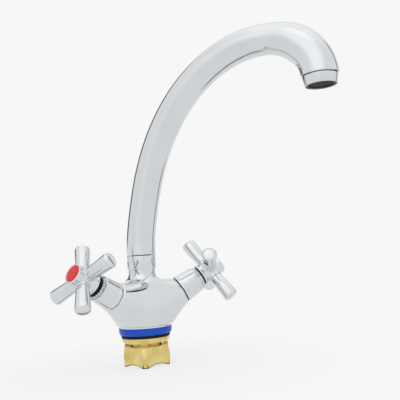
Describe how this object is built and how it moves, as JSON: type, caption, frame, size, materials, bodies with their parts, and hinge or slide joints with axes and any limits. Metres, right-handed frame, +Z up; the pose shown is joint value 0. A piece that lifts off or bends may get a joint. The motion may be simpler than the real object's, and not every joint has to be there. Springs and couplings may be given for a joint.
{
  "type": "kitchen faucet",
  "caption": "Deck-mounted kitchen mixer tap: rounded body, hot and cold cross-handle valves, tall swivelling swan-neck spout with an aerator, brass fixing nut.",
  "frame": {"origin": "centre of the mounting hole on the deck's top face, under the rubber gasket", "axes": "+Z up along the body's axis, front -Y, hot handle on -X, cold handle on +X"},
  "size_m": [0.1893, 0.2065, 0.2891],
  "materials": {
    "chrome_plate": "polished chrome plating on brass",
    "raw_brass": "bare machined brass",
    "steel": "bright turned",
    "blue_plastic": "smooth moulded",
    "red_plastic": "smooth moulded",
    "black_rubber": "matt",
    "ceramic": "ground ceramic disc",
    "grey_plastic": "fine matt",
    "stop_plastic": "plated and serrated"
  },
  "bodies": {
    "tap_body": {"body": "chrome_plate", "mounting_shank": "raw_brass", "base_ring": "blue_plastic", "base_gasket": "black_rubber", "spout_collar": "chrome_plate", "hot_seat_seal": "black_rubber", "hot_fixed_disc": "ceramic", "hot_valve_body": "raw_brass", "hot_bonnet_sleeve": "chrome_plate", "hot_stop_ring": "stop_plastic", "hot_guide_ring": "black_rubber", "cold_seat_seal": "black_rubber", "cold_fixed_disc": "ceramic", "cold_valve_body": "raw_brass", "cold_bonnet_sleeve": "chrome_plate", "cold_stop_ring": "stop_plastic", "cold_guide_ring": "black_rubber"},
    "spout_arm": {"spout": "chrome_plate", "spout_tail": "raw_brass", "tail_oring_1": "black_rubber", "tail_oring_2": "black_rubber", "split_ring": "steel", "slide_washer": "grey_plastic", "nose_bush": "raw_brass", "aerator_housing": "chrome_plate", "aerator_gasket": "black_rubber", "aerator_insert": "grey_plastic", "aerator_screen": "grey_plastic"},
    "hot_handle": {"hot_hub": "chrome_plate", "hot_arm_1": "chrome_plate", "hot_arm_2": "chrome_plate", "hot_arm_3": "chrome_plate", "hot_arm_4": "chrome_plate", "hot_spindle": "raw_brass", "hot_moving_disc": "ceramic", "hot_spindle_oring": "black_rubber", "hot_spindle_clip": "steel", "hot_handle_screw": "steel", "hot_index": "red_plastic"},
    "cold_handle": {"cold_hub": "chrome_plate", "cold_arm_1": "chrome_plate", "cold_arm_2": "chrome_plate", "cold_arm_3": "chrome_plate", "cold_arm_4": "chrome_plate", "cold_spindle": "raw_brass", "cold_moving_disc": "ceramic", "cold_spindle_oring": "black_rubber", "cold_spindle_clip": "steel", "cold_handle_screw": "steel", "cold_index": "blue_plastic"},
    "nut": {"mounting_nut": "raw_brass"}
  },
  "joints": [
    {"name": "spout_swivel", "type": "hinge", "parent": "tap_body", "child": "spout_arm", "pos_m": [0, 0, 0.0615], "axis": [0, 0, 1], "continuous": true},
    {"name": "hot_handle_turn", "type": "hinge", "parent": "tap_body", "child": "hot_handle", "pos_m": [0, 0, 0.0191], "axis": [-0.8445, -0.2106, 0.4924], "range_deg": [0, 90]},
    {"name": "cold_handle_turn", "type": "hinge", "parent": "tap_body", "child": "cold_handle", "pos_m": [0, 0, 0.0191], "axis": [0.8445, -0.2106, 0.4924], "range_deg": [-90, 0]},
    {"name": "nut_travel", "type": "slide", "parent": "tap_body", "child": "nut", "axis": [0, 0, -1], "range_m": [0, 0.01]}
  ]
}
